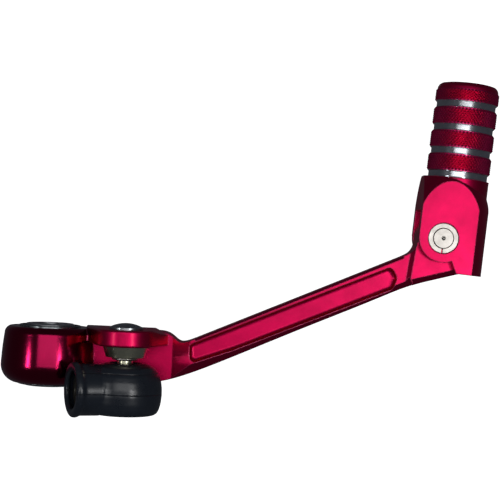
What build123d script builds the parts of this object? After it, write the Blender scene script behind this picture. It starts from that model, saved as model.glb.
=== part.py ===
from build123d import *

import os
from math import asin, atan2, cos, pi, radians, sin, sqrt

# Folding gear shift lever for a motorcycle or sport quad, in millimetres.
# Origin: centre of the pivot bore. +Y runs along the pivot axis to the outboard side, +X runs forward
# to the toe tip, +Z is the side of the lever that faces up when it lies flat.

# ---------------------------------------------------------------------------------------------------
# Driving dimensions
# ---------------------------------------------------------------------------------------------------
RUNNING_GAP = 0.04          # radial play of every turning fit
SEAT_GAP = 0.02             # radial play of pieces that are fixed together

# Pivot boss and its collar
BORE_RADIUS = 5.1           # collar bore, for a 10 mm pivot bolt
COLLAR_WALL = 1.9
COLLAR_PROUD = 0.9          # how far the collar stands out of the boss at each end
BOSS_OUTBOARD = 7.6
BOSS_INBOARD = -8.5
BOSS_END_RADIUS = 13.0
BOSS_RADIUS = 13.7
BOSS_FACE_RADIUS = 10.3      # of the flat inboard face, inside the rounded rim
BUSH_WALL = 1.4
BUSH_LENGTH = 5.0
SEAL_WALL = 0.6
SEAL_RADIUS = 8.9
SEAL_DEPTH = 2.0
SEAL_PROUD = 0.5
LIP_PLAY = 0.06

# Ball joint lug
STUD_X = 23.3
STUD_Z = 14.0
LUG_OUTBOARD = 8.5
LUG_THICKNESS = 4.7
LUG_NOSE_RADIUS = 8.0
ROOT_TOP = 3.0
ROOT_BOTTOM = -9.0
ROOT_OUTBOARD = 7.55
LUG_ROUNDING = 0.6

# Ball stud, nut and socket
BALL_RADIUS = 4.0
BALL_Y = -8.4
NECK_RADIUS = 2.2
FLANGE_RADIUS = 6.4
FLANGE_TAPER = 1.0
FLANGE_THICKNESS = 3.0
STUD_RADIUS = 3.0
NUT_RADIUS = 4.7
NUT_SINK = 2.0
NUT_PROUD = 1.8
NUT_DOME = 1.2
SOCKET_RADIUS = 8.4
SOCKET_BEVEL = 1.4
SEAT_RADIUS = 5.6
SEAT_SPLIT = 0.3
CAP_THICKNESS = 0.8
CAP_RADIUS = 6.2
SOCKET_LIP = 0.8
SHANK_RADIUS = 4.7
SHANK_REACH = 13.4
SHANK_BORE_RADIUS = 2.5     # tapping size of an M6 thread
SHANK_BORE_DEPTH = 6.4
SLEEVE_ELEVATION = 157.0    # direction of the shank in the XZ plane, from +X towards +Z

# Dust boot
BOOT_RADIUS = 10.7
BOOT_WALL = 1.2
BOOT_NECK_RADIUS = 6.0
BOOT_NECK_BORE = 4.2
BOOT_TOP = -0.9
BOOT_BOTTOM = -15.2
SLEEVE_RADIUS = 7.3
SLEEVE_REACH = 15.4
RIM_RADIUS = 7.7            # bead round the sleeve's mouth
RIM_WIDTH = 2.2
MOUTH_RADIUS = 5.1
RING_WIRE = 0.35

# Arm
ARM_HALF_HEIGHT = 4.8
ARM_FLAT_X = 41.0
POCKET_DEPTH = 3.4
POCKET_CORNER = 1.6
POCKET_FILLET = 1.2
LOWER_BEVEL = 1.8
UPPER_BEVEL = 0.6
HEAD_LEAN = 7.7             # degrees, line of the step between arm and head
HEAD_STEP_WIDTH = 1.3

# Folding tip
PIN_X = 111.6
PIN_Y = 37.9
TIP_LEAN = 4.5              # degrees, from +Y towards +X
PEG_OFFSET = 3.05           # from the pin to the peg's axis
PEG_RADIUS = 9.2
PEG_TOP = 45.0
PEG_EDGE = 1.9
GROOVE_COUNT = 4
GROOVE_PITCH = 6.7
GROOVE_WIDTH = 1.9
GROOVE_DEPTH = 0.7
GROOVE_FLANK = 0.25
GROOVE_FIRST = 18.6
BLOCK_OFFSET = 1.1          # from the pin to the axis of the block's turned sides
BLOCK_RADIUS = 12.2
BLOCK_REAR = -7.0
BLOCK_FRONT = 12.6
BLOCK_BOTTOM = -9.6
SHOULDER_TOP = 17.5
SHOULDER_HEIGHT = 8.5
SHOULDER_RADIUS = 8.5       # where the shoulder meets the peg
TONGUE_HALF_HEIGHT = 6.0
TONGUE_RADIUS = 6.8
FORK_GAP = 0.45             # between tongue and each ear, filled by a thrust washer
EAR_ARC_RADIUS = 6.9
FOLD_ANGLE = 45.0
FOLD_PIN_RADIUS = 3.0
FOLD_BUSH_WALL = 1.0
CLIP_RADIUS = 4.2
CLIP_THICKNESS = 0.5
CLIP_SINK = 1.0
CLIP_OPENING = 0.4
SPRING_RADIUS = 4.9
SPRING_WIRE = 0.35
SPRING_TURNS = 3.5
SPRING_RECESS_RADIUS = 5.7
SPRING_RECESS_DEPTH = 4.4

# ---------------------------------------------------------------------------------------------------
# Worked-out sizes
# ---------------------------------------------------------------------------------------------------
COLLAR_RADIUS = BORE_RADIUS + COLLAR_WALL
BUSH_INNER = COLLAR_RADIUS + RUNNING_GAP
BUSH_OUTER = BUSH_INNER + BUSH_WALL
BOSS_MIDDLE = (BOSS_OUTBOARD + BOSS_INBOARD) / 2
LUG_INBOARD = LUG_OUTBOARD - LUG_THICKNESS
SLEEVE_DIRECTION = (cos(radians(SLEEVE_ELEVATION)), 0, sin(radians(SLEEVE_ELEVATION)))
ARM_SLOPE = 24.4
ARM_UPPER_LINE = [(42.2, 5.95), (100.9, 32.3)]
ARM_SLOPE_RATIO = 0.449
ARM_LOWER_EDGE = [(34.4, -6.3), (49.7, -0.42), (72.0, 9.85), (93.8, 19.7), (103.9, 24.1), (114.2, 27.1)]
POCKET_OUTLINE = [(40.7, 4.3), (97.7, 29.2), (99.5, 26.0), (98.3, 22.7), (54.0, 3.5), (41.0, -1.3)]
HEAD_X = PIN_X - TONGUE_RADIUS
EAR_INNER = TONGUE_HALF_HEIGHT + FORK_GAP
TIP = Location((PIN_X, PIN_Y, 0), (0, 0, -TIP_LEAN))
SHANK_PLANE = Plane(origin=(STUD_X, BALL_Y, STUD_Z), x_dir=(0, 1, 0), z_dir=SLEEVE_DIRECTION)


# ---------------------------------------------------------------------------------------------------
# Shared shapes
# ---------------------------------------------------------------------------------------------------
def bar_y(radius, y_low, y_high, x=0.0, z=0.0):
    """Round bar along Y."""
    return Pos(x, (y_low + y_high) / 2, z) * Rot(90, 0, 0) * Cylinder(radius, y_high - y_low)


def ring_y(outer, inner, y_low, y_high, x=0.0, z=0.0):
    """Plain ring along Y."""
    return bar_y(outer, y_low, y_high, x, z) - bar_y(inner, y_low - 1, y_high + 1, x, z)


def bar_z(radius, z_low, z_high):
    """Round bar along Z, on the origin."""
    return Pos(0, 0, (z_low + z_high) / 2) * Cylinder(radius, z_high - z_low)


def ring_z(outer, inner, z_low, z_high):
    """Plain ring along Z, on the origin."""
    return bar_z(outer, z_low, z_high) - bar_z(inner, z_low - 1, z_high + 1)


def turned_y(edges, x=0.0, z=0.0):
    """Solid turned about the Y axis from edges in the XY plane, then placed at x, z."""
    return Pos(x, 0, z) * revolve(make_face(edges), Axis.Y)


def prism_z(outline, z_low, z_high):
    """Face in the XY plane raised from z_low to z_high."""
    return extrude(Pos(0, 0, z_low) * outline, z_high - z_low)


def prism_y(outline_xz, y_low, y_high):
    """Outline of (x, z) points raised along Y."""
    face = make_face(Polyline(*[(x, y_low, z) for x, z in outline_xz], close=True))
    return extrude(face, y_high - y_low, dir=(0, 1, 0))


# ---------------------------------------------------------------------------------------------------
# Pivot: collar, bushes and seals
# ---------------------------------------------------------------------------------------------------
def pivot_collar():
    low = BOSS_INBOARD - COLLAR_PROUD
    high = BOSS_OUTBOARD + COLLAR_PROUD
    collar = ring_y(COLLAR_RADIUS, BORE_RADIUS, low, high)
    rims = [edge for edge in collar.edges().filter_by(GeomType.CIRCLE) if edge.radius > BORE_RADIUS + 0.5]
    return chamfer(rims, 0.3)


def pivot_bush(outboard):
    if outboard:
        high = BOSS_OUTBOARD - SEAL_DEPTH
        return ring_y(BUSH_OUTER, BUSH_INNER, high - BUSH_LENGTH, high)
    low = BOSS_INBOARD + SEAL_DEPTH
    return ring_y(BUSH_OUTER, BUSH_INNER, low, low + BUSH_LENGTH)


def seal_span(outboard):
    """Y values of a seal case, from its seat in the boss to its proud rim."""
    if outboard:
        return BOSS_OUTBOARD - SEAL_DEPTH + 0.1, BOSS_OUTBOARD + SEAL_PROUD
    return BOSS_INBOARD - SEAL_PROUD, BOSS_INBOARD + SEAL_DEPTH - 0.1


def seal_case(outboard):
    low, high = seal_span(outboard)
    case = ring_y(SEAL_RADIUS - SEAT_GAP, SEAL_RADIUS - SEAL_WALL, low, high)
    face = high if outboard else low
    rim = case.edges().filter_by(GeomType.CIRCLE).filter_by(lambda edge: edge.radius > SEAL_RADIUS - 0.1)
    proud = [edge for edge in rim if abs(edge.center().Y - face) < 0.01]
    return fillet(proud, SEAL_WALL * 0.5)


def seal_lip(outboard):
    low, high = seal_span(outboard)
    inner = COLLAR_RADIUS + LIP_PLAY
    outer = SEAL_RADIUS - SEAL_WALL - SEAT_GAP
    lip = ring_y(outer, inner, low + 0.15, high - 0.15)
    face = high - 0.15 if outboard else low + 0.15
    middle = (outer + inner) / 2
    groove = Pos(0, face, 0) * Rot(90, 0, 0) * Torus(middle, 0.3)
    return lip - groove


# ---------------------------------------------------------------------------------------------------
# Lever arm
# ---------------------------------------------------------------------------------------------------
def boss():
    outline = Curve() + [
        Line((0, BOSS_INBOARD), (BOSS_FACE_RADIUS, BOSS_INBOARD)),
        ThreePointArc(
            (BOSS_FACE_RADIUS, BOSS_INBOARD),
            (BOSS_RADIUS - 1.35, BOSS_INBOARD + 1.4),
            (BOSS_RADIUS, BOSS_INBOARD + 5.4),
        ),
        ThreePointArc(
            (BOSS_RADIUS, BOSS_INBOARD + 5.4),
            (BOSS_RADIUS - 0.25, 1.0),
            (BOSS_END_RADIUS, BOSS_OUTBOARD - 2.2),
        ),
        ThreePointArc(
            (BOSS_END_RADIUS, BOSS_OUTBOARD - 2.2),
            (BOSS_END_RADIUS - 0.5, BOSS_OUTBOARD - 0.7),
            (BOSS_END_RADIUS - 1.4, BOSS_OUTBOARD),
        ),
        Line((BOSS_END_RADIUS - 1.4, BOSS_OUTBOARD), (0, BOSS_OUTBOARD)),
        Line((0, BOSS_OUTBOARD), (0, BOSS_INBOARD)),
    ]
    return turned_y(outline)


def arm_outline():
    """Outline of root, arm and tongue seen from above, with the tongue's round end about the fold pin."""
    corner = tongue_point(TONGUE_RADIUS, BLOCK_BOTTOM + 0.2)
    front_top = tongue_point(TONGUE_RADIUS, 0)
    crown = tongue_point(0, TONGUE_RADIUS)
    rear = tongue_point(-TONGUE_RADIUS, 0)
    root_end = (31.8, ROOT_OUTBOARD)
    valley = (38.2, 4.8)
    rise = (ARM_UPPER_LINE[0][0], ARM_UPPER_LINE[0][1])
    head = (ARM_UPPER_LINE[1][0], ARM_UPPER_LINE[1][1])
    outline = Curve() + [
        Line((0, ROOT_OUTBOARD - 0.3), root_end),
        Spline([root_end, valley, rise], tangents=[(1, 0), (1, ARM_SLOPE_RATIO)]),
        Line(rise, head),
        Spline([head, (103.5, 33.9), rear], tangents=[(1, ARM_SLOPE_RATIO), (-0.0785, 1)]),
        ThreePointArc(rear, crown, front_top),
        Line(front_top, corner),
        Spline(
            [corner, *reversed(ARM_LOWER_EDGE), (24.0, BOSS_INBOARD + 0.7)],
            tangents=[(-1, -0.2), (-1, -0.1)],
        ),
        Line((24.0, BOSS_INBOARD + 0.7), (0, BOSS_INBOARD + 1.0)),
        Line((0, BOSS_INBOARD + 1.0), (0, ROOT_OUTBOARD - 0.3)),
    ]
    return make_face(outline)


def tongue_point(across, along):
    """World XY of a point given in the tip's own axes, from the fold pin."""
    lean = radians(TIP_LEAN)
    x = PIN_X + across * cos(lean) + along * sin(lean)
    y = PIN_Y - across * sin(lean) + along * cos(lean)
    return (x, y)


def side_profile():
    """Height of root, arm and tongue, as (x, z) points."""
    head = HEAD_X - 4
    return [
        (0, ROOT_TOP),
        (STUD_X + 12.5, ROOT_TOP),
        (ARM_FLAT_X, ARM_HALF_HEIGHT),
        (head, ARM_HALF_HEIGHT),
        (head + 1, TONGUE_HALF_HEIGHT),
        (PIN_X + 20, TONGUE_HALF_HEIGHT),
        (PIN_X + 20, -TONGUE_HALF_HEIGHT),
        (head + 1, -TONGUE_HALF_HEIGHT),
        (head, -ARM_HALF_HEIGHT),
        (ARM_FLAT_X, -ARM_HALF_HEIGHT),
        (STUD_X, ROOT_BOTTOM + 1.5),
        (10.0, ROOT_BOTTOM),
        (0, ROOT_BOTTOM),
    ]


def head_step():
    """Takes the arm down from the head's height, along a leaning line beside the tongue."""
    low = (-HEAD_STEP_WIDTH, ARM_HALF_HEIGHT)
    section = [(-12, ARM_HALF_HEIGHT), low, (0, TONGUE_HALF_HEIGHT), (0, 20), (-12, 20)]
    cut = prism_y(section, -30, 30)
    return Location((PIN_X - TONGUE_RADIUS, PIN_Y, 0), (0, 0, -HEAD_LEAN)) * cut


def edge_bevel(start, end, top, leg):
    """Cuts a 45 degree bevel off an upper edge that runs from start to end, with the metal on its left."""
    length = sqrt((end[0] - start[0]) ** 2 + (end[1] - start[1]) ** 2)
    along = ((end[0] - start[0]) / length, (end[1] - start[1]) / length, 0)
    outward = (along[1], -along[0], 0)
    section = Polyline((-leg - 2, -top - 2), (2, -top + leg + 2), (2, -top - 2), close=True)
    plane = Plane(origin=(start[0], start[1], 0), x_dir=outward, z_dir=along)
    return extrude(plane * make_face(section), length)


def lug():
    """Wall that carries the ball stud, with a round nose and sloping flanks."""
    nose = (STUD_X, STUD_Z)
    left = tangent_point(nose, LUG_NOSE_RADIUS, (11.4, 5.6), 1)
    right = tangent_point(nose, LUG_NOSE_RADIUS, (34.4, 4.2), -1)
    profile = [(11.0, 0.0), (11.0, 4.0), (11.4, 5.6), left, right, (34.4, 4.2), (34.8, 0.0)]
    wall = prism_y(profile, LUG_INBOARD, LUG_OUTBOARD)
    wall += bar_y(LUG_NOSE_RADIUS, LUG_INBOARD, LUG_OUTBOARD, STUD_X, STUD_Z)
    faces = wall.faces().filter_by(Axis.Y)
    rims = [edge for face in faces for edge in face.edges() if edge.center().Z > 4.9]
    wall = fillet(rims, LUG_ROUNDING)
    beyond = LUG_OUTBOARD + 1
    corner = Polyline((30.6, LUG_OUTBOARD), (38.2, 4.8), (38.2, beyond), (30.6, beyond), close=True)
    return wall - prism_z(make_face(corner), -20, 20)


def tangent_point(centre, radius, outside, side):
    """Point where a line from an outside point touches a circle, on the given side."""
    dx = outside[0] - centre[0]
    dz = outside[1] - centre[1]
    reach = sqrt(dx * dx + dz * dz)
    angle = atan2(dz, dx) - side * (pi / 2 - asin(radius / reach))
    return (centre[0] + radius * cos(angle), centre[1] + radius * sin(angle))


def pocket():
    """Milled pocket in the arm's upper face."""
    outline = make_face(Polyline(*POCKET_OUTLINE, close=True))
    outline = fillet(outline.vertices(), POCKET_CORNER)
    cut = prism_z(outline, ARM_HALF_HEIGHT - POCKET_DEPTH, ARM_HALF_HEIGHT + 5)
    return fillet(cut.edges().group_by(Axis.Z)[0], POCKET_FILLET)


def lever_arm():
    web = prism_z(arm_outline(), -20, 20) & prism_y(side_profile(), -20, 70)
    lower_start = ARM_LOWER_EDGE[0]
    lower_end = ARM_LOWER_EDGE[-2]
    upper_start, upper_end = ARM_UPPER_LINE
    cuts = [
        head_step(),
        edge_bevel(lower_start, lower_end, ARM_HALF_HEIGHT, LOWER_BEVEL),
        edge_bevel(lower_end, tongue_point(TONGUE_RADIUS, BLOCK_BOTTOM), TONGUE_HALF_HEIGHT, LOWER_BEVEL),
        edge_bevel(upper_end, upper_start, ARM_HALF_HEIGHT, UPPER_BEVEL),
        pocket(),
    ]
    for cut in cuts:
        web -= cut
        web -= mirror(cut, Plane.XY)
    body = boss() + web + lug()
    body -= bar_y(BUSH_OUTER + SEAT_GAP, BOSS_INBOARD - 1, BOSS_OUTBOARD + 1)
    body -= bar_y(SEAL_RADIUS, BOSS_OUTBOARD - SEAL_DEPTH, BOSS_OUTBOARD + 5)
    body -= bar_y(SEAL_RADIUS, BOSS_INBOARD - 5, BOSS_INBOARD + SEAL_DEPTH)
    body -= bar_y(STUD_RADIUS + SEAT_GAP, LUG_INBOARD - 1, LUG_OUTBOARD + 1, STUD_X, STUD_Z)
    body -= bar_y(NUT_RADIUS + 0.3, LUG_OUTBOARD - NUT_SINK, LUG_OUTBOARD + 5, STUD_X, STUD_Z)
    bush_hole = FOLD_PIN_RADIUS + RUNNING_GAP + FOLD_BUSH_WALL + SEAT_GAP
    body -= TIP * bar_z(bush_hole, -20, 20)
    body -= TIP * bar_z(SPRING_RECESS_RADIUS, TONGUE_HALF_HEIGHT - SPRING_RECESS_DEPTH, 20)
    return body


# ---------------------------------------------------------------------------------------------------
# Ball joint
# ---------------------------------------------------------------------------------------------------
def ball_stud():
    flange_low = LUG_INBOARD - FLANGE_THICKNESS
    outline = Curve() + [
        Polyline(
            (0, LUG_OUTBOARD + NUT_PROUD - 1.6),
            (STUD_RADIUS, LUG_OUTBOARD + NUT_PROUD - 1.6),
            (STUD_RADIUS, LUG_INBOARD),
            (FLANGE_RADIUS, LUG_INBOARD),
            (FLANGE_RADIUS - FLANGE_TAPER, flange_low),
            (NECK_RADIUS + 0.8, flange_low),
            (NECK_RADIUS, flange_low - 1.0),
            (NECK_RADIUS, BALL_Y + 2),
            (0, BALL_Y + 2),
            close=True,
        )
    ]
    shank = turned_y(outline, STUD_X, STUD_Z)
    return shank + Pos(STUD_X, BALL_Y, STUD_Z) * Sphere(BALL_RADIUS)


def stud_nut():
    low = LUG_OUTBOARD - NUT_SINK
    high = LUG_OUTBOARD + NUT_PROUD
    dome_radius = (NUT_RADIUS ** 2 + NUT_DOME ** 2) / (2 * NUT_DOME)
    dome = Pos(STUD_X, high - dome_radius, STUD_Z) * Sphere(dome_radius)
    nut = bar_y(NUT_RADIUS, low, high + 1, STUD_X, STUD_Z) & dome
    thread_end = LUG_OUTBOARD + NUT_PROUD - 1.6
    return nut - bar_y(STUD_RADIUS + SEAT_GAP, low - 1, thread_end + SEAT_GAP, STUD_X, STUD_Z)


def boot_neck_ring():
    y = LUG_INBOARD - FLANGE_THICKNESS - RING_WIRE - 0.1
    ring_radius = NECK_RADIUS + 0.8 + RING_WIRE + RUNNING_GAP
    return Pos(STUD_X, y, STUD_Z) * Rot(90, 0, 0) * Torus(ring_radius, RING_WIRE)


def socket_span():
    """Y values of the socket's open lip, seat shoulder, seat floor and inboard face."""
    lip_top = BALL_Y + BALL_RADIUS - 0.4
    shoulder = lip_top - SOCKET_LIP
    floor = BALL_Y - BALL_RADIUS - 0.1
    face = floor - CAP_THICKNESS - 0.45
    return lip_top, shoulder, floor, face


def ball_cavity():
    return Pos(STUD_X, BALL_Y, STUD_Z) * Sphere(BALL_RADIUS + RUNNING_GAP)


def ball_seat(upper):
    lip_top, shoulder, floor, face = socket_span()
    if upper:
        seat = bar_y(SEAT_RADIUS, BALL_Y + SEAT_SPLIT / 2, shoulder - SEAT_GAP, STUD_X, STUD_Z)
    else:
        seat = bar_y(SEAT_RADIUS, floor + SEAT_GAP, BALL_Y - SEAT_SPLIT / 2, STUD_X, STUD_Z)
    return seat - ball_cavity()


def socket_housing():
    lip_top, shoulder, floor, face = socket_span()
    body = bar_y(SOCKET_RADIUS, face, lip_top, STUD_X, STUD_Z)
    body = chamfer(body.edges().filter_by(GeomType.CIRCLE), SOCKET_BEVEL)
    body += SHANK_PLANE * bar_z(SHANK_RADIUS, SEAT_RADIUS + 0.8, SHANK_REACH)
    body -= bar_y(SEAT_RADIUS + SEAT_GAP, floor - 1, shoulder, STUD_X, STUD_Z)
    body -= bar_y(NECK_RADIUS + 1.3, shoulder - 1, lip_top + 1, STUD_X, STUD_Z)
    body -= bar_y(CAP_RADIUS + SEAT_GAP, face - 1, floor, STUD_X, STUD_Z)
    groove_y = floor - CAP_THICKNESS
    body -= bar_y(CAP_RADIUS + 0.35, groove_y - 0.3, groove_y, STUD_X, STUD_Z)
    body -= SHANK_PLANE * bar_z(SHANK_BORE_RADIUS, SHANK_REACH - SHANK_BORE_DEPTH, SHANK_REACH + 1)
    return body


def socket_cap():
    floor = socket_span()[2]
    return bar_y(CAP_RADIUS, floor - CAP_THICKNESS + SEAT_GAP, floor - SEAT_GAP, STUD_X, STUD_Z)


def cap_ring():
    low = socket_span()[2] - CAP_THICKNESS - 0.28
    ring = ring_y(CAP_RADIUS + 0.3, CAP_RADIUS - 0.6, low, low + 0.26, STUD_X, STUD_Z)
    gap = Pos(STUD_X + CAP_RADIUS, low, STUD_Z) * Box(4, 4, 1.6)
    return ring - gap


def boot_body(shrink):
    """Solid of the boot's outside, or of its inside when shrunk by the wall."""
    widest = BALL_Y - 0.2
    top_bulge = BOOT_TOP - 2.4
    radius = BOOT_RADIUS - shrink
    low = BOOT_BOTTOM + shrink
    top = BOOT_TOP - shrink
    neck = BOOT_NECK_RADIUS - shrink
    outline = Curve() + [
        Line((0, low), (radius - 2.2, low)),
        ThreePointArc((radius - 2.2, low), (radius - 1.25, low + 0.45), (radius - 0.8, low + 1.5)),
        Spline(
            [(radius - 0.8, low + 1.5), (radius, widest), (radius - 1.2, top_bulge), (neck, top)],
            tangents=[(0.25, 1), (-0.6, 0.6)],
        ),
        Line((neck, top), (0, top)),
        Line((0, top), (0, low)),
    ]
    return turned_y(outline, STUD_X, STUD_Z)


def dust_boot():
    outside = boot_body(0) + SHANK_PLANE * bar_z(SLEEVE_RADIUS, 0, SLEEVE_REACH)
    outside += SHANK_PLANE * bar_z(RIM_RADIUS, SLEEVE_REACH - RIM_WIDTH, SLEEVE_REACH)
    hollow = bar_z(SLEEVE_RADIUS - BOOT_WALL, 0, SLEEVE_REACH - BOOT_WALL)
    hollow += bar_z(MOUTH_RADIUS, 0, SLEEVE_REACH + 1)
    inside = boot_body(BOOT_WALL) + SHANK_PLANE * hollow
    neck = bar_y(BOOT_NECK_BORE, BALL_Y, BOOT_TOP + 2, STUD_X, STUD_Z)
    return outside - inside - neck


# ---------------------------------------------------------------------------------------------------
# Folding tip
# ---------------------------------------------------------------------------------------------------
def peg():
    """Turned peg with a rounded end, about the Y axis."""
    outline = Curve() + [
        Polyline((0, SHOULDER_TOP), (PEG_RADIUS, SHOULDER_TOP), (PEG_RADIUS, PEG_TOP - PEG_EDGE)),
        ThreePointArc(
            (PEG_RADIUS, PEG_TOP - PEG_EDGE),
            (PEG_RADIUS - PEG_EDGE * 0.3, PEG_TOP - PEG_EDGE * 0.3),
            (PEG_RADIUS - PEG_EDGE, PEG_TOP),
        ),
        Polyline((PEG_RADIUS - PEG_EDGE, PEG_TOP), (0, PEG_TOP), (0, SHOULDER_TOP)),
    ]
    return turned_y(outline)


def block():
    """Round bar of the fork and the domed shoulder that leads to the peg, before the flats are milled."""
    shoulder_low = SHOULDER_TOP - SHOULDER_HEIGHT
    shoulder_middle = shoulder_low + SHOULDER_HEIGHT * 0.51
    outline = Curve() + [
        Line((0, SHOULDER_TOP), (0, BLOCK_BOTTOM)),
        Line((0, BLOCK_BOTTOM), (BLOCK_RADIUS, BLOCK_BOTTOM)),
        Line((BLOCK_RADIUS, BLOCK_BOTTOM), (BLOCK_RADIUS, shoulder_low)),
        ThreePointArc(
            (BLOCK_RADIUS, shoulder_low),
            (BLOCK_RADIUS - 1.4, shoulder_middle),
            (SHOULDER_RADIUS, SHOULDER_TOP),
        ),
        Line((SHOULDER_RADIUS, SHOULDER_TOP), (0, SHOULDER_TOP)),
    ]
    peg_root = bar_y(PEG_RADIUS - 0.3, shoulder_middle - 1, SHOULDER_TOP, PEG_OFFSET + 0.2)
    return turned_y(outline, BLOCK_OFFSET) + peg_root


def peg_groove(y):
    root = PEG_RADIUS - GROOVE_DEPTH
    half = GROOVE_WIDTH / 2
    outline = Polyline(
        (root, y - half + GROOVE_FLANK),
        (PEG_RADIUS, y - half),
        (PEG_RADIUS + 1, y - half),
        (PEG_RADIUS + 1, y + half),
        (PEG_RADIUS, y + half),
        (root, y + half - GROOVE_FLANK),
        close=True,
    )
    return revolve(make_face(outline), Axis.Y)


def fork_slot():
    """Room for the tongue between the ears, open to the rear and below, and its sweep when folded."""
    reach = TONGUE_RADIUS + 0.5
    low = BLOCK_BOTTOM - 1
    rear = BLOCK_REAR - 5
    stop = TONGUE_RADIUS + 0.05
    slot = prism_z(
        make_face(
            Polyline((rear, low), (stop, low), (stop, 0), (0, 0), (rear, 0), close=True)
        ),
        -EAR_INNER,
        EAR_INNER,
    )
    slot += bar_z(reach, -EAR_INNER, EAR_INNER)
    folded = radians(180 + ARM_SLOPE + TIP_LEAN - FOLD_ANGLE)
    direction = (cos(folded), sin(folded))
    half = 5.4
    lift = (sin(folded) * half, -cos(folded) * half)
    far = 30
    upper = [
        (lift[0], lift[1]),
        (lift[0] + direction[0] * far, lift[1] + direction[1] * far),
        (rear * 2, -1),
        (0, -1),
    ]
    slot += prism_z(make_face(Polyline(*upper, close=True)), -EAR_INNER, EAR_INNER)
    return slot


def ear_trim():
    """Takes the fork's lower rear corner back to an arc about the pin, above and below the tongue."""
    side = BLOCK_RADIUS + 10
    corner = make_face(Polyline((-side, 0), (0, 0), (5.2, BLOCK_BOTTOM - 1), (-side, -side), close=True))
    return prism_z(corner, -20, 20) - bar_z(EAR_ARC_RADIUS, -30, 30)


def toe_tip():
    turned = peg()
    for number in range(GROOVE_COUNT):
        turned -= peg_groove(GROOVE_FIRST + number * GROOVE_PITCH)
    middle = (BLOCK_REAR + BLOCK_FRONT) / 2
    flats = Pos(middle, 0, 0) * Box(BLOCK_FRONT - BLOCK_REAR, 2 * PEG_TOP, 2 * PEG_RADIUS)
    tip = Pos(PEG_OFFSET, 0, 0) * turned + (block() & flats)
    tip -= fork_slot()
    tip -= ear_trim()
    tip -= bar_z(FOLD_PIN_RADIUS + SEAT_GAP, -30, 30)
    sink = bar_z(CLIP_RADIUS + 0.15, PEG_RADIUS - CLIP_SINK, PEG_RADIUS + 5)
    tip -= sink
    tip -= mirror(sink, Plane.XY)
    return TIP * tip


def fold_pin():
    high = PEG_RADIUS - 0.1
    pin = bar_z(FOLD_PIN_RADIUS, -high, high)
    rims = pin.edges().filter_by(GeomType.CIRCLE)
    pin = chamfer(rims, 0.25)
    groove_low = PEG_RADIUS - CLIP_SINK + 0.03
    groove_high = groove_low + CLIP_THICKNESS + 0.04
    groove = ring_z(FOLD_PIN_RADIUS + 1, FOLD_PIN_RADIUS - 0.35, groove_low, groove_high)
    centre_mark = Pos(0, 0, high + 0.4) * Sphere(0.7)
    for cut in (groove, centre_mark):
        pin -= cut
        pin -= mirror(cut, Plane.XY)
    return TIP * pin


def pin_clip(upper):
    low = PEG_RADIUS - CLIP_SINK + 0.05
    clip = ring_z(CLIP_RADIUS, FOLD_PIN_RADIUS - 0.3, low, low + CLIP_THICKNESS)
    clip -= Pos(0, -CLIP_RADIUS, low) * Box(CLIP_OPENING, 4, 4)
    if not upper:
        clip = mirror(clip, Plane.XY)
    return TIP * clip


def fold_bush(upper):
    outer = FOLD_PIN_RADIUS + RUNNING_GAP + FOLD_BUSH_WALL
    bush = ring_z(outer, FOLD_PIN_RADIUS + RUNNING_GAP, 0.2, TONGUE_HALF_HEIGHT)
    if not upper:
        bush = mirror(bush, Plane.XY)
    return TIP * bush


def fold_washer(upper):
    washer = ring_z(
        TONGUE_RADIUS - 0.4, FOLD_PIN_RADIUS + RUNNING_GAP, TONGUE_HALF_HEIGHT + 0.02, EAR_INNER - 0.04
    )
    if not upper:
        washer = mirror(washer, Plane.XY)
    return TIP * washer


def tip_spring():
    """Torsion spring round the upper bush, with its two legs lying in the recess."""
    pitch = 2 * SPRING_WIRE + 0.25
    height = SPRING_TURNS * pitch
    low = TONGUE_HALF_HEIGHT - SPRING_RECESS_DEPTH + SPRING_WIRE + 0.1
    path = Helix(pitch, height, SPRING_RADIUS)
    section = Plane(path @ 0, z_dir=path % 0) * Circle(SPRING_WIRE)
    coil = sweep(section, path=path)
    return TIP * (Pos(0, 0, low) * coil)


# ---------------------------------------------------------------------------------------------------
# Writing the parts
# ---------------------------------------------------------------------------------------------------
PARTS = {
    "pivot_collar": pivot_collar,
    "lever_arm": lever_arm,
    "pivot_bush_outer": lambda: pivot_bush(True),
    "pivot_bush_inner": lambda: pivot_bush(False),
    "seal_case_outer": lambda: seal_case(True),
    "seal_case_inner": lambda: seal_case(False),
    "seal_lip_outer": lambda: seal_lip(True),
    "seal_lip_inner": lambda: seal_lip(False),
    "ball_stud": ball_stud,
    "stud_nut": stud_nut,
    "boot_neck_ring": boot_neck_ring,
    "socket_housing": socket_housing,
    "ball_seat_upper": lambda: ball_seat(True),
    "ball_seat_lower": lambda: ball_seat(False),
    "socket_cap": socket_cap,
    "cap_ring": cap_ring,
    "dust_boot": dust_boot,
    "toe_tip": toe_tip,
    "fold_pin": fold_pin,
    "pin_clip_upper": lambda: pin_clip(True),
    "pin_clip_lower": lambda: pin_clip(False),
    "fold_bush_upper": lambda: fold_bush(True),
    "fold_bush_lower": lambda: fold_bush(False),
    "fold_washer_upper": lambda: fold_washer(True),
    "fold_washer_lower": lambda: fold_washer(False),
    "tip_spring": tip_spring,
}

os.makedirs("parts", exist_ok=True)
for name, make in PARTS.items():
    export_step(make(), f"parts/{name}.step")
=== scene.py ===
"""Looks of a folding gear shift lever: anodised arm, knurled folding tip, booted ball joint."""

import logging
import math
from dataclasses import dataclass, field
from enum import Enum, IntEnum

import bmesh
import bpy
from mathutils import Matrix, Vector


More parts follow.
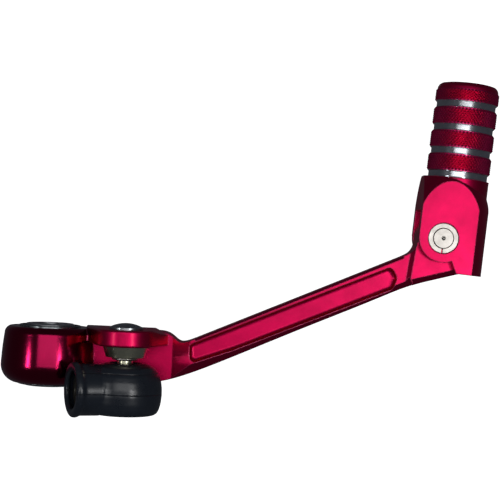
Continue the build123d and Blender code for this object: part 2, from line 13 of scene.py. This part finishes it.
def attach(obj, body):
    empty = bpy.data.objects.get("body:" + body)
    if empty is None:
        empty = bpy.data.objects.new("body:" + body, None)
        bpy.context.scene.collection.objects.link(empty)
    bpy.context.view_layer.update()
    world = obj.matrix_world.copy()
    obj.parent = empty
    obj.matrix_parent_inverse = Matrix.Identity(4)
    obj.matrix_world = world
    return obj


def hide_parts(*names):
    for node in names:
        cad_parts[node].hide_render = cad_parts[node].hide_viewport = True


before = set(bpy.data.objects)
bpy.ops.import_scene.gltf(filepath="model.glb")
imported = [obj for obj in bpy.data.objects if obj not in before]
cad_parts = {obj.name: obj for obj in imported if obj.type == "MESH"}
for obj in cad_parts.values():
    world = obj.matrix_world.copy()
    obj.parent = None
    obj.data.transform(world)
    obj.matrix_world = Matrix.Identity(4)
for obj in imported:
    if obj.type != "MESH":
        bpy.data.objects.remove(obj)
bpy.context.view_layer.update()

LOG = logging.getLogger("shift_lever")
MM = 0.001
BEVEL_SAMPLES = 6
EDGE_GAIN = 6.0
CAD_MERGE = 2e-6
SPIN_MERGE = 1e-6
SMOOTH_ANGLE = math.radians(32.0)
Colour = tuple[float, float, float]


# ----------------------------------------------------------------------------------------------------
# Shader graph
# ----------------------------------------------------------------------------------------------------
class Value:
    """A number that a material works out at each point, with the usual arithmetic."""

    def __init__(self, graph: "Graph", socket: bpy.types.NodeSocket) -> None:
        """Wrap one output socket of a graph."""
        self.graph = graph
        self.socket = socket

    def _math(self, operation: str, *terms: "Value | float") -> "Value":
        """Add a Math node that works on the terms in order."""
        inputs = dict(enumerate(terms))
        return self.graph.add("ShaderNodeMath", {"operation": operation}, inputs)

    def __add__(self, other: "Value | float") -> "Value":
        """Sum."""
        return self._math("ADD", self, other)

    def __sub__(self, other: "Value | float") -> "Value":
        """Difference."""
        return self._math("SUBTRACT", self, other)

    def __rsub__(self, other: float) -> "Value":
        """Difference from a number."""
        return self._math("SUBTRACT", other, self)

    def __mul__(self, other: "Value | float") -> "Value":
        """Product."""
        return self._math("MULTIPLY", self, other)

    def __truediv__(self, other: "Value | float") -> "Value":
        """Quotient."""
        return self._math("DIVIDE", self, other)

    def __gt__(self, other: "Value | float") -> "Value":
        """One where this is the greater, else nought."""
        return self._math("GREATER_THAN", self, other)

    def __abs__(self) -> "Value":
        """Size without sign."""
        return self._math("ABSOLUTE", self)

    def clamped(self) -> "Value":
        """Held between nought and one."""
        return self._math("MINIMUM", self._math("MAXIMUM", self, 0.0), 1.0)

    __radd__ = __add__


class Graph:
    """The node tree of one material."""

    def __init__(self, name: str) -> None:
        """Start a material of that name, with an empty tree but for its output."""
        self.material = bpy.data.materials.new(name)
        self.material.use_nodes = True
        self.tree = self.material.node_tree
        self.tree.nodes.clear()
        self.output = self.tree.nodes.new("ShaderNodeOutputMaterial")

    def node(
        self, kind: str, settings: dict | None = None, inputs: dict | None = None
    ) -> bpy.types.Node:
        """Add a node.

        Args:
            kind: The node's type.
            settings: Its own settings, set first.
            inputs: Values or links of its sockets, by name or number.

        Returns:
            The new node.
        """
        made = self.tree.nodes.new(kind)
        for key, value in (settings or {}).items():
            setattr(made, key, value)
        for key, value in (inputs or {}).items():
            if isinstance(value, Value):
                value = value.socket
            if isinstance(value, bpy.types.NodeSocket):
                self.tree.links.new(value, made.inputs[key])
            else:
                made.inputs[key].default_value = value
        return made

    def add(self, kind: str, settings: dict | None = None, inputs: dict | None = None) -> Value:
        """Add a node and return its first output as a value."""
        return Value(self, self.node(kind, settings, inputs).outputs[0])

    def place(self) -> bpy.types.NodeSocket:
        """The point in the object's own coordinates, which are the lever's frame in metres."""
        return self.node("ShaderNodeTexCoord").outputs["Object"]

    def noise(
        self, scale: float, detail: float, vector: bpy.types.NodeSocket | None = None
    ) -> Value:
        """Cloudy noise from nought to one.

        Args:
            scale: Cells per metre.
            detail: Octaves.
            vector: Where to read it; the object's coordinates if left out.

        Returns:
            The noise.
        """
        inputs = {"Vector": vector or self.place(), "Scale": scale, "Detail": detail, "Roughness": 0.6}
        return self.add("ShaderNodeTexNoise", None, inputs)

    def stretched(
        self, factors: tuple[float, float, float], turn: float = 0.0
    ) -> bpy.types.NodeSocket:
        """Object coordinates turned about Z and scaled axis by axis, for lines left by a cutter."""
        inputs = {"Vector": self.place(), "Rotation": (0.0, 0.0, turn), "Scale": factors}
        return self.node("ShaderNodeMapping", None, inputs).outputs[0]

    def mix(self, factor: Value | float, first: object, second: object) -> bpy.types.NodeSocket:
        """Blend of two colours."""
        inputs = {0: factor, 6: self._colour(first), 7: self._colour(second)}
        return self.node("ShaderNodeMix", {"data_type": "RGBA"}, inputs).outputs[2]

    @staticmethod
    def _colour(given: object) -> object:
        """A colour as a socket takes it, or a link as it is."""
        return (*given, 1.0) if isinstance(given, tuple) else given

    def bump(
        self, height: Value, depth: float, normal: bpy.types.NodeSocket | None = None
    ) -> bpy.types.NodeSocket:
        """Normal tilted by a height.

        Args:
            height: Height from nought to one.
            depth: Size of a full step, in metres.
            normal: The normal to tilt, if not the surface's own.

        Returns:
            The new normal.
        """
        inputs = {"Height": height, "Distance": depth, "Strength": 1.0}
        if normal is not None:
            inputs["Normal"] = normal
        return self.node("ShaderNodeBump", None, inputs).outputs[0]

    def rounded(self, radius: float) -> bpy.types.NodeSocket:
        """Normal that rounds sharp edges off."""
        settings = {"samples": BEVEL_SAMPLES}
        return self.node("ShaderNodeBevel", settings, {"Radius": radius}).outputs[0]

    def edges(self, radius: float) -> Value:
        """One on sharp edges, falling to nought away from them."""
        normal = self.node("ShaderNodeNewGeometry").outputs["Normal"]
        inputs = {0: self.rounded(radius), 1: normal}
        product = self.node("ShaderNodeVectorMath", {"operation": "DOT_PRODUCT"}, inputs)
        facing = Value(self, product.outputs["Value"])
        return ((1.0 - facing) * EDGE_GAIN).clamped()

    def place_along(self, axis: int) -> Value:
        """One coordinate of the shaded point in the object's own frame, in metres."""
        inputs = {"Vector": self.place()}
        return Value(self, self.node("ShaderNodeSeparateXYZ", None, inputs).outputs[axis])

    def surface(self, links: dict, constants: dict) -> bpy.types.Material:
        """Close the graph with a Principled shader.

        Args:
            links: Sockets that change over the surface.
            constants: Sockets that don't.

        Returns:
            The finished material.
        """
        shader = self.node("ShaderNodeBsdfPrincipled", None, {**constants, **links})
        self.tree.links.new(shader.outputs[0], self.output.inputs["Surface"])
        return self.material


# ----------------------------------------------------------------------------------------------------
# Finishes
# ----------------------------------------------------------------------------------------------------
@dataclass(frozen=True)
class Anodised:
    """Dyed anodised aluminium, milled, worn paler along its edges.

    Up to boss_end along X it is smoother, for the turned pivot boss, and its colour is darkened with
    painted shade.
    From there it blends over boss_blend into the milled look.
    """

    name: str
    dye: Colour = (0.80, 0.005, 0.096)
    deep: Colour = (0.48, 0.003, 0.060)
    worn: Colour = (0.98, 0.20, 0.42)
    # Painted shade for the boss, not a dye of its own.
    painted_boss_shade: Colour = (0.13, 0.0015, 0.024)
    edge_radius: float = 0.45 * MM
    roughness: float = 0.37
    boss_roughness: float = 0.13
    boss_end: float = 11.0 * MM
    boss_blend: float = 6.0 * MM
    grain_depth: float = 0.012 * MM

    def material(self) -> bpy.types.Material:
        """The finish as a material."""
        graph = Graph(self.name)
        cloud = graph.noise(160.0, 4.0)
        grain = graph.noise(2600.0, 2.0)
        marks = graph.noise(900.0, 2.0, graph.stretched((1.0, 7.0, 7.0), math.radians(-24.0)))
        edge = graph.edges(self.edge_radius)
        tone = (cloud * 0.9 + grain * 0.35 + marks * 0.3 - 0.32).clamped()
        boss = (1.0 - (graph.place_along(0) - self.boss_end) / self.boss_blend).clamped()
        colour = graph.mix(tone, self.deep, self.dye)
        # Painted shade: over the boss the base colour is darkened towards the shade colour.
        colour = graph.mix(boss * 0.8, colour, self.painted_boss_shade)
        colour = graph.mix(edge * (0.35 + cloud * 0.5), colour, self.worn)
        milled = self.roughness + grain * 0.10 - cloud * 0.10 + marks * 0.08
        rough = milled - boss * (self.roughness - self.boss_roughness)
        height = grain * 0.55 + marks * 0.45
        normal = graph.bump(height, self.grain_depth, graph.rounded(self.edge_radius))
        links = {"Base Color": colour, "Roughness": rough, "Normal": normal}
        return graph.surface(links, {"Metallic": 1.0, "Coat Weight": 0.08, "Coat Roughness": 0.18})


@dataclass(frozen=True)
class BareMetal:
    """Plated or bare metal with fine turning lines, stains and bright edges."""

    name: str
    colour: Colour
    stain: Colour
    roughness: float = 0.25
    stain_scale: float = 300.0
    turned_axis: int = 1
    edge_radius: float = 0.12 * MM
    turning_depth: float = 0.006 * MM

    def material(self) -> bpy.types.Material:
        """The finish as a material."""
        graph = Graph(self.name)
        lines = [4.0, 4.0, 4.0]
        lines[self.turned_axis] = 60.0
        turning = graph.noise(120.0, 3.0, graph.stretched(tuple(lines)))
        cloud = graph.noise(self.stain_scale, 4.0)
        edge = graph.edges(self.edge_radius)
        colour = graph.mix((cloud * 1.6 - 0.45).clamped(), self.colour, self.stain)
        bright = tuple(min(1.0, channel * 1.25 + 0.05) for channel in self.colour)
        colour = graph.mix(edge * 0.6, colour, bright)
        rough = self.roughness + cloud * 0.12 + turning * 0.10 - 0.08
        normal = graph.bump(turning, self.turning_depth, graph.rounded(self.edge_radius))
        links = {"Base Color": colour, "Roughness": rough, "Normal": normal}
        return graph.surface(links, {"Metallic": 1.0})


@dataclass(frozen=True)
class Moulded:
    """Moulded rubber or plastic with a faint skin texture, dust and rubbed spots."""

    name: str
    colour: Colour
    dusty: Colour
    roughness: float = 0.42
    grain_depth: float = 0.01 * MM

    def material(self) -> bpy.types.Material:
        """The finish as a material."""
        graph = Graph(self.name)
        cloud = graph.noise(220.0, 4.0)
        grain = graph.noise(3200.0, 2.0)
        specks = (graph.noise(1500.0, 1.0) > 0.70) * 0.35
        colour = graph.mix((cloud * 0.8 - 0.15 + specks).clamped(), self.colour, self.dusty)
        rough = self.roughness + cloud * 0.16 + grain * 0.06 - 0.08
        normal = graph.bump(grain * 0.7 + cloud * 0.3, self.grain_depth)
        links = {"Base Color": colour, "Roughness": rough, "Normal": normal}
        return graph.surface(links, {})


@dataclass(frozen=True)
class Knurled:
    """Anodised metal of knurled bands, with the dye worn on the diamonds' points."""

    name: str
    dye: Colour = (0.92, 0.020, 0.17)
    deep: Colour = (0.42, 0.004, 0.08)
    worn: Colour = (0.95, 0.20, 0.40)
    edge_radius: float = 0.10 * MM
    grain_depth: float = 0.008 * MM

    def material(self) -> bpy.types.Material:
        """The finish as a material."""
        graph = Graph(self.name)
        cloud = graph.noise(240.0, 4.0)
        grain = graph.noise(3000.0, 2.0)
        edge = graph.edges(self.edge_radius)
        colour = graph.mix((cloud * 1.1 + grain * 0.4 - 0.30).clamped(), self.deep, self.dye)
        colour = graph.mix(edge * (0.15 + cloud * 0.5), colour, self.worn)
        rough = 0.34 + grain * 0.12 - cloud * 0.06
        normal = graph.bump(grain, self.grain_depth)
        links = {"Base Color": colour, "Roughness": rough, "Normal": normal}
        return graph.surface(links, {"Metallic": 1.0, "Coat Weight": 0.2, "Coat Roughness": 0.2})


@dataclass(frozen=True)
class Rubber:
    """Glossy moulded rubber with fine mould lines round the boot darkened by painted shade, dust and
    rubbed spots.
    """

    name: str
    colour: Colour = (0.010, 0.014, 0.022)
    dusty: Colour = (0.030, 0.038, 0.050)
    # Painted shade for the mould lines.
    painted_crease_shade: Colour = (0.002, 0.002, 0.003)
    lines: tuple[float, ...] = (-3.4 * MM, -9.0 * MM)
    line_width: float = 0.16 * MM
    line_depth: float = 0.10 * MM

    def material(self) -> bpy.types.Material:
        """The finish as a material."""
        graph = Graph(self.name)
        cloud = graph.noise(220.0, 4.0)
        grain = graph.noise(2600.0, 2.0)
        specks = (graph.noise(1400.0, 1.0) > 0.70) * 0.4
        across = graph.place_along(1)
        height = grain * 0.10 + cloud * 0.06
        grooves = 0.0
        for line in self.lines:
            grooves = grooves + (1.0 - abs(across - line) / self.line_width).clamped()
        tone = (cloud * 0.7 - 0.15 + specks).clamped()
        colour = graph.mix(tone, self.colour, self.dusty)
        # Painted shade: the base colour is darkened inside the two mould lines.
        colour = graph.mix(grooves * 0.8, colour, self.painted_crease_shade)
        rough = 0.26 + cloud * 0.14 + grain * 0.05 - 0.06
        normal = graph.bump(height - grooves, self.line_depth)
        links = {"Base Color": colour, "Roughness": rough, "Normal": normal}
        return graph.surface(links, {"Specular IOR Level": 0.6})


class Finish(Enum):
    """Every finish on the lever, by the piece of metal, rubber or plastic that wears it."""

    ARM = Anodised("red_anodised")
    COLLAR = BareMetal("collar_steel", (0.50, 0.51, 0.53), (0.33, 0.34, 0.36), 0.28)
    SEAL_CASE = BareMetal("seal_steel", (0.30, 0.34, 0.35), (0.17, 0.20, 0.21), 0.24)
    SEAL_LIP = Moulded("seal_rubber", (0.018, 0.018, 0.020), (0.05, 0.05, 0.05), 0.55)
    ZINC = BareMetal("zinc_yellow", (0.74, 0.72, 0.52), (0.52, 0.54, 0.40), 0.26, 500.0)
    NUT = BareMetal("nut_steel", (0.42, 0.46, 0.48), (0.22, 0.24, 0.25), 0.26)
    BRIGHT = BareMetal("bright_steel", (0.52, 0.49, 0.46), (0.36, 0.34, 0.31), 0.32, 420.0, 2)
    BRONZE = BareMetal("bronze", (0.56, 0.38, 0.16), (0.38, 0.24, 0.10), 0.34)
    SOCKET = BareMetal("socket_steel", (0.42, 0.40, 0.34), (0.26, 0.25, 0.20), 0.30)
    SPRING = BareMetal("spring_steel", (0.26, 0.26, 0.28), (0.14, 0.14, 0.15), 0.30, 600.0, 2)
    NYLON = Moulded("nylon", (0.76, 0.73, 0.66), (0.58, 0.55, 0.48), 0.45)
    BOOT = Rubber("boot_rubber")
    KNURL = Knurled("red_knurled")
    GROOVE = BareMetal(
        "bare_aluminium", (0.72, 0.74, 0.77), (0.45, 0.48, 0.52), 0.16, 420.0, 1, 0.05 * MM
    )


NODE_FINISH: dict[str, Finish] = {
    "pivot_collar": Finish.COLLAR,
    "lever_arm": Finish.ARM,
    "toe_tip": Finish.ARM,
    "pivot_bush_outer": Finish.BRONZE,
    "pivot_bush_inner": Finish.BRONZE,
    "fold_bush_upper": Finish.BRONZE,
    "fold_bush_lower": Finish.BRONZE,
    "fold_washer_upper": Finish.BRONZE,
    "fold_washer_lower": Finish.BRONZE,
    "seal_case_outer": Finish.SEAL_CASE,
    "seal_case_inner": Finish.SEAL_CASE,
    "seal_lip_outer": Finish.SEAL_LIP,
    "seal_lip_inner": Finish.SEAL_LIP,
    "ball_stud": Finish.ZINC,
    "stud_nut": Finish.NUT,
    "boot_neck_ring": Finish.BRIGHT,
    "fold_pin": Finish.BRIGHT,
    "pin_clip_upper": Finish.BRIGHT,
    "pin_clip_lower": Finish.BRIGHT,
    "socket_housing": Finish.SOCKET,
    "socket_cap": Finish.SOCKET,
    "cap_ring": Finish.SPRING,
    "tip_spring": Finish.SPRING,
    "ball_seat_upper": Finish.NYLON,
    "ball_seat_lower": Finish.NYLON,
    "dust_boot": Finish.BOOT,
}


@dataclass
class Paintshop:
    """Makes each finish once and puts it on pieces."""

    made: dict[Finish, bpy.types.Material] = field(default_factory=dict)

    def coat(self, finish: Finish) -> bpy.types.Material:
        """The material of a finish, made on first use."""
        if finish not in self.made:
            self.made[finish] = finish.value.material()
        return self.made[finish]

    def dress(self, piece: bpy.types.Object, *finishes: Finish) -> None:
        """Give a piece its finishes, one for each material slot."""
        slots = piece.data.materials
        for index, finish in enumerate(finishes):
            if index < len(slots):
                slots[index] = self.coat(finish)
            else:
                slots.append(self.coat(finish))

    def dress_cad(self) -> None:
        """Put each CAD node's finish on its object."""
        for name, finish in NODE_FINISH.items():
            self.dress(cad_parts[name], finish)
            LOG.info("dressed %s as %s", name, finish.value.name)


# ----------------------------------------------------------------------------------------------------
# Detailed pieces
# ----------------------------------------------------------------------------------------------------
def turned(
    mesh: bmesh.types.BMesh, outline: list[tuple[float, float]], base: Matrix, steps: int
) -> None:
    """Spin an outline of (radius, height) points about its own height axis.

    Args:
        mesh: Where the surface goes.
        outline: Its points, open or, with the first repeated at the end, closed.
        base: Places the turning axis, which is local Z.
        steps: Faces round.
    """
    verts = [mesh.verts.new(base @ Vector((radius, 0.0, height))) for radius, height in outline]
    edges = [mesh.edges.new(pair) for pair in zip(verts, verts[1:])]
    bmesh.ops.spin(
        mesh,
        geom=verts + edges,
        cent=base.translation,
        axis=base.to_3x3() @ Vector((0.0, 0.0, 1.0)),
        angle=math.tau,
        steps=steps,
        use_merge=True,
    )
    bmesh.ops.remove_doubles(mesh, verts=mesh.verts, dist=SPIN_MERGE)


class TipSlot(IntEnum):
    """Material slots of the folding tip."""

    MILLED = 0
    BARE = 1
    KNURLED = 2


@dataclass
class ToeTip:
    """Folding tip: its milled block, and a peg with a bare groove under each of four knurled bands."""

    pin: Vector = field(default_factory=lambda: Vector((111.6, 37.9, 0.0)) * MM)
    lean: float = math.radians(4.5)
    offset: float = 3.05 * MM
    radius: float = 9.2 * MM
    foot: float = 17.55 * MM
    top: float = 45.0 * MM
    edge: float = 1.9 * MM
    grooves: tuple[float, ...] = (18.6 * MM, 25.3 * MM, 32.0 * MM, 38.7 * MM)
    groove_half: float = 0.95 * MM
    groove_depth: float = 0.7 * MM
    groove_flank: float = 0.25 * MM
    sink: float = 0.4 * MM
    knurl_depth: float = 0.38 * MM
    knurl_rows: int = 4
    knurl_round: int = 56
    corner_steps: int = 4
    smooth_angle: float = math.radians(16.0)

    def build(self, shop: Paintshop) -> bpy.types.Object:
        """Make the tip and let it take the CAD tip's place."""
        mesh = bmesh.new()
        mesh.from_mesh(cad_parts["toe_tip"].data)
        bmesh.ops.remove_doubles(mesh, verts=mesh.verts, dist=CAD_MERGE)
        self.cut_peg(mesh)
        peg = bmesh.new()
        turned(peg, self.outline(), self.axes(), self.knurl_round)
        self.paint(peg)
        self.knurl(peg)
        data = bpy.data.meshes.new("peg")
        peg.to_mesh(data)
        peg.free()
        mesh.from_mesh(data)
        bpy.data.meshes.remove(data)
        piece = finished("knurled_tip", mesh, self.smooth_angle)
        shop.dress(piece, Finish.ARM, Finish.GROOVE, Finish.KNURL)
        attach(piece, "folding_tip")
        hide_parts("toe_tip")
        LOG.info("built %s with %d faces", piece.name, len(piece.data.polygons))
        return piece

    def axes(self) -> Matrix:
        """Frame of the peg: origin level with the pin, local Z along the peg."""
        along = Vector((math.sin(self.lean), math.cos(self.lean), 0.0))
        across = Vector((along.y, -along.x, 0.0))
        turn = Matrix((across, across.cross(along) * -1.0, along)).transposed()
        return Matrix.Translation(self.pin + across * self.offset) @ turn.to_4x4()

    def cut_peg(self, mesh: bmesh.types.BMesh) -> None:
        """Take the plain peg off the block and close the cut."""
        axes = self.axes()
        along = axes.to_3x3() @ Vector((0.0, 0.0, 1.0))
        geometry = [*mesh.verts, *mesh.edges, *mesh.faces]
        place = axes @ Vector((0.0, 0.0, self.foot))
        bmesh.ops.bisect_plane(
            mesh, geom=geometry, plane_co=place, plane_no=along, clear_outer=True
        )
        rim = [edge for edge in mesh.edges if edge.is_boundary]
        bmesh.ops.edgeloop_fill(mesh, edges=rim)

    def outline(self) -> list[tuple[float, float]]:
        """Profile of the peg as (radius, height) points, with one ring for each knurl row."""
        valley = self.radius - self.knurl_depth
        root = self.radius - self.groove_depth
        start = self.foot - self.sink
        points = [(0.0, start), (root, start), (valley, self.foot)]
        ends = [*self.grooves[1:], self.top - self.edge + self.groove_half]
        for groove, above in zip(self.grooves, ends):
            points.append((root, groove - self.groove_half + self.groove_flank))
            points.append((root, groove + self.groove_half - self.groove_flank))
            low = groove + self.groove_half
            high = above - self.groove_half
            for row in range(self.knurl_rows + 1):
                points.append((valley, low + (high - low) * row / self.knurl_rows))
        inner = self.radius - self.edge
        for step in range(1, self.corner_steps + 1):
            angle = math.radians(90.0 / self.corner_steps * step)
            radius = inner + (valley - self.radius + self.edge) * math.cos(angle)
            points.append((radius, self.top - self.edge + self.edge * math.sin(angle)))
        points.append((0.0, self.top))
        return points

    def height(self, face: bmesh.types.BMFace) -> float:
        """How far up the peg a face lies."""
        return (self.axes().inverted() @ face.calc_center_median()).z

    def paint(self, peg: bmesh.types.BMesh) -> None:
        """Bare metal in the grooves, knurled finish on the bands."""
        for face in peg.faces:
            height = self.height(face)
            bare = any(abs(height - groove) < self.groove_half for groove in self.grooves)
            band = self.grooves[0] < height < self.top - self.edge
            if bare:
                face.material_index = TipSlot.BARE
            elif band:
                face.material_index = TipSlot.KNURLED
            else:
                face.material_index = TipSlot.MILLED

    @staticmethod
    def is_knurled(face: bmesh.types.BMFace) -> bool:
        """Whether a face belongs to a knurled band."""
        return face.material_index == TipSlot.KNURLED

    def knurl(self, peg: bmesh.types.BMesh) -> None:
        """Turn the bands' squares into raised diamonds."""
        squares = [face for face in peg.faces if self.is_knurled(face)]
        sides = {edge for face in squares for edge in face.edges}
        inner = [edge for edge in sides if all(map(self.is_knurled, edge.link_faces))]
        bmesh.ops.poke(peg, faces=squares)
        bmesh.ops.dissolve_edges(peg, edges=inner, use_verts=False)
        diamonds = [face for face in peg.faces if self.is_knurled(face) and len(face.verts) == 4]
        bmesh.ops.recalc_face_normals(peg, faces=peg.faces)
        bmesh.ops.poke(peg, faces=diamonds, offset=self.knurl_depth)


@dataclass
class DustBoot:
    """Rubber boot: barrel round the ball joint and side sleeve with a beaded mouth, as one skin.

    barrel and sleeve are (radius, height) profiles in millimetres, and so are the sizes that
    shape the barrel's inside: wall, inner_bottom, inner_top, end_height and thin_radius.
    """

    centre: Vector = field(default_factory=lambda: Vector((23.3, -8.4, 14.0)) * MM)
    elevation: float = math.radians(157.0)
    barrel: tuple[tuple[float, float], ...] = (
        (4.2, 7.5), (5.6, 7.45), (6.9, 7.1), (8.3, 6.5), (9.2, 5.6), (9.45, 5.0),
        (9.9, 4.3), (10.35, 2.8), (10.65, 0.8), (10.7, -1.2), (10.5, -3.4), (10.1, -5.0),
        (9.6, -6.1), (8.8, -6.7), (6.0, -6.8), (0.0, -6.8),
    )
    sleeve: tuple[tuple[float, float], ...] = (
        (7.2, 7.2), (7.2, 12.7), (7.25, 13.2), (7.6, 13.6), (7.7, 14.2), (7.6, 14.9),
        (7.1, 15.35), (6.2, 15.4), (5.4, 15.2), (5.1, 14.7), (5.3, 14.2), (6.0, 14.0),
        (6.1, 7.2), (7.2, 7.2),
    )
    wall: float = 1.2
    inner_bottom: float = -5.6
    inner_top: float = 6.3
    end_height: float = 5.0
    thin_radius: float = 4.5
    barrel_steps: int = 96
    sleeve_steps: int = 72
    voxel: float = 0.28 * MM
    blend_factor: float = 0.5
    blend_steps: int = 5

    def build(self, shop: Paintshop) -> bpy.types.Object:
        """Make the boot and let it take the CAD boot's place."""
        mesh = bmesh.new()
        sleeve = [(radius * MM, reach * MM) for radius, reach in self.sleeve]
        along_stud = Vector((0.0, 1.0, 0.0))
        along_rod = Vector((math.cos(self.elevation), 0.0, math.sin(self.elevation)))
        turned(mesh, self.shell(), self.axes(along_stud), self.barrel_steps)
        turned(mesh, sleeve, self.axes(along_rod), self.sleeve_steps)
        boot = finished("rubber_boot", mesh)
        remesh = boot.modifiers.new("skin", "REMESH")
        remesh.mode = "VOXEL"
        remesh.voxel_size = self.voxel
        remesh.use_smooth_shade = True
        smooth = boot.modifiers.new("blend", "SMOOTH")
        smooth.factor = self.blend_factor
        smooth.iterations = self.blend_steps
        shop.dress(boot, Finish.BOOT)
        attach(boot, "rod_end")
        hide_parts("dust_boot")
        LOG.info("built %s", boot.name)
        return boot

    def axes(self, along: Vector) -> Matrix:
        """Frame at the ball's centre with local Z along a direction."""
        turn = along.to_track_quat("Z", "X").to_matrix()
        return Matrix.Translation(self.centre) @ turn.to_4x4()

    def shell(self) -> list[tuple[float, float]]:
        """Barrel's outside, then its inside a wall further in, as one closed profile."""
        outside = [(radius * MM, height * MM) for radius, height in self.barrel]
        inside = [self.inner_point(*point) for point in reversed(self.barrel)]
        return [*outside, *inside, outside[0]]

    def inner_point(self, radius: float, height: float) -> tuple[float, float]:
        """Point of the barrel's inside that belongs to one of its outside.

        Args:
            radius: The outside point's radius, in millimetres.
            height: Its height, in millimetres.

        Returns:
            Radius and height of the inside point, in metres.
        """
        if radius > self.thin_radius:
            radius -= self.wall
        if abs(height) > self.end_height:
            height -= math.copysign(self.wall, height)
        height = max(self.inner_bottom, min(height, self.inner_top))
        return radius * MM, height * MM


# ----------------------------------------------------------------------------------------------------
# Studio
# ----------------------------------------------------------------------------------------------------
@dataclass
class Studio:
    """Camera above the lever, a softbox over it, two strip lights and a pale floor below its swing.

    Light sizes are in metres and powers in watts.
    """

    camera_at: Vector = field(default_factory=lambda: Vector((56.9, 32.2, 400.0)) * MM)
    camera_turn: float = math.radians(2.5)
    lens: float = 99.3
    floor_level: float = -42.0 * MM
    floor_size: float = 6.0
    key_at: Vector = field(default_factory=lambda: Vector((40.0, 66.0, 450.0)) * MM)
    key_size: tuple[float, float] = (0.40, 0.14)
    key_power: float = 0.37
    strips_at: tuple[Vector, ...] = field(
        default_factory=lambda: tuple(Vector((x, -4.0, 345.0)) * MM for x in (-313.0, 220.0))
    )
    strip_target: Vector = field(default_factory=lambda: Vector((23.0, 4.0, 14.0)) * MM)
    strip_size: tuple[float, float] = (0.06, 0.05)
    strip_power: float = 0.22
    paper_dark: Colour = (0.88, 0.88, 0.88)
    paper_light: Colour = (0.92, 0.92, 0.92)
    paper_glow: float = 0.95
    around: Colour = (0.045, 0.047, 0.055)
    backdrop: Colour = (0.95, 0.95, 0.95)

    def build(self) -> None:
        """Set up camera, lights, world and floor."""
        self.add_camera()
        self.add_floor()
        self.add_world()
        below_key = Vector((self.key_at.x, self.key_at.y, 0.0))
        self.add_panel("key", self.key_at, below_key, self.key_size, self.key_power)
        for place in self.strips_at:
            self.add_panel("strip", place, self.strip_target, self.strip_size, self.strip_power)

    def add_camera(self) -> None:
        """Camera that looks straight down."""
        data = bpy.data.cameras.new("camera")
        data.lens = self.lens
        data.sensor_width = 36.0
        data.clip_start = 0.01
        camera = bpy.data.objects.new("camera", data)
        camera.location = self.camera_at
        camera.rotation_euler = (0.0, 0.0, self.camera_turn)
        bpy.context.scene.collection.objects.link(camera)
        bpy.context.scene.camera = camera

    def add_panel(
        self, name: str, place: Vector, target: Vector, size: tuple[float, float], watts: float
    ) -> None:
        """Rectangular light that faces a target and is not seen itself."""
        data = bpy.data.lights.new(name, "AREA")
        data.shape = "RECTANGLE"
        data.size, data.size_y = size
        data.energy = watts
        light = bpy.data.objects.new(name, data)
        light.location = place
        light.rotation_euler = (target - place).to_track_quat("-Z", "Y").to_euler()
        light.visible_camera = False
        bpy.context.scene.collection.objects.link(light)

    def add_floor(self) -> None:
        """Pale floor, kept out of reflections so that the metal's sides stay dark."""
        mesh = bmesh.new()
        bmesh.ops.create_grid(mesh, x_segments=1, y_segments=1, size=self.floor_size / 2)
        bmesh.ops.translate(mesh, verts=mesh.verts, vec=(0.0, 0.0, self.floor_level))
        floor = finished("floor", mesh)
        graph = Graph("floor_paper")
        fibre = graph.noise(90.0, 3.0)
        tone = graph.mix(fibre, self.paper_dark, self.paper_light)
        constants = {
            "Roughness": 0.9,
            "Emission Color": (1.0, 1.0, 1.0, 1.0),
            "Emission Strength": self.paper_glow,
        }
        floor.data.materials.append(graph.surface({"Base Color": tone}, constants))
        floor.visible_glossy = False
        floor.visible_diffuse = False

    def add_world(self) -> None:
        """Pale to the camera, dark grey to the metal."""
        world = bpy.data.worlds.new("studio")
        bpy.context.scene.world = world
        world.use_nodes = True
        tree = world.node_tree
        tree.nodes.clear()
        rays = tree.nodes.new("ShaderNodeLightPath")
        mix = tree.nodes.new("ShaderNodeMixShader")
        output = tree.nodes.new("ShaderNodeOutputWorld")
        for slot, shade in enumerate((self.around, self.backdrop), start=1):
            background = tree.nodes.new("ShaderNodeBackground")
            background.inputs["Color"].default_value = (*shade, 1.0)
            tree.links.new(background.outputs[0], mix.inputs[slot])
        tree.links.new(rays.outputs["Is Camera Ray"], mix.inputs[0])
        tree.links.new(mix.outputs[0], output.inputs["Surface"])
        bpy.context.scene.view_settings.view_transform = "Standard"


def finished(
    name: str, mesh: bmesh.types.BMesh, smooth_angle: float = SMOOTH_ANGLE
) -> bpy.types.Object:
    """Turn a bmesh into a linked object whose gentle edges are shaded smooth.

    Args:
        name: The piece's name.
        mesh: Its mesh, freed here.
        smooth_angle: Edges that turn more than this stay sharp.

    Returns:
        The object, at the origin.
    """
    bmesh.ops.recalc_face_normals(mesh, faces=mesh.faces)
    for face in mesh.faces:
        face.smooth = True
    for edge in mesh.edges:
        edge.smooth = len(edge.link_faces) == 2 and edge.calc_face_angle() < smooth_angle
    data = bpy.data.meshes.new(name)
    mesh.to_mesh(data)
    mesh.free()
    piece = bpy.data.objects.new(name, data)
    bpy.context.scene.collection.objects.link(piece)
    return piece


def main() -> None:
    """Build the studio and the lever's pieces in order."""
    logging.basicConfig(level=logging.INFO, format="%(name)s: %(message)s")
    Studio().build()
    shop = Paintshop()
    shop.dress_cad()
    ToeTip().build(shop)
    DustBoot().build(shop)


if __name__ == "__main__":
    main()
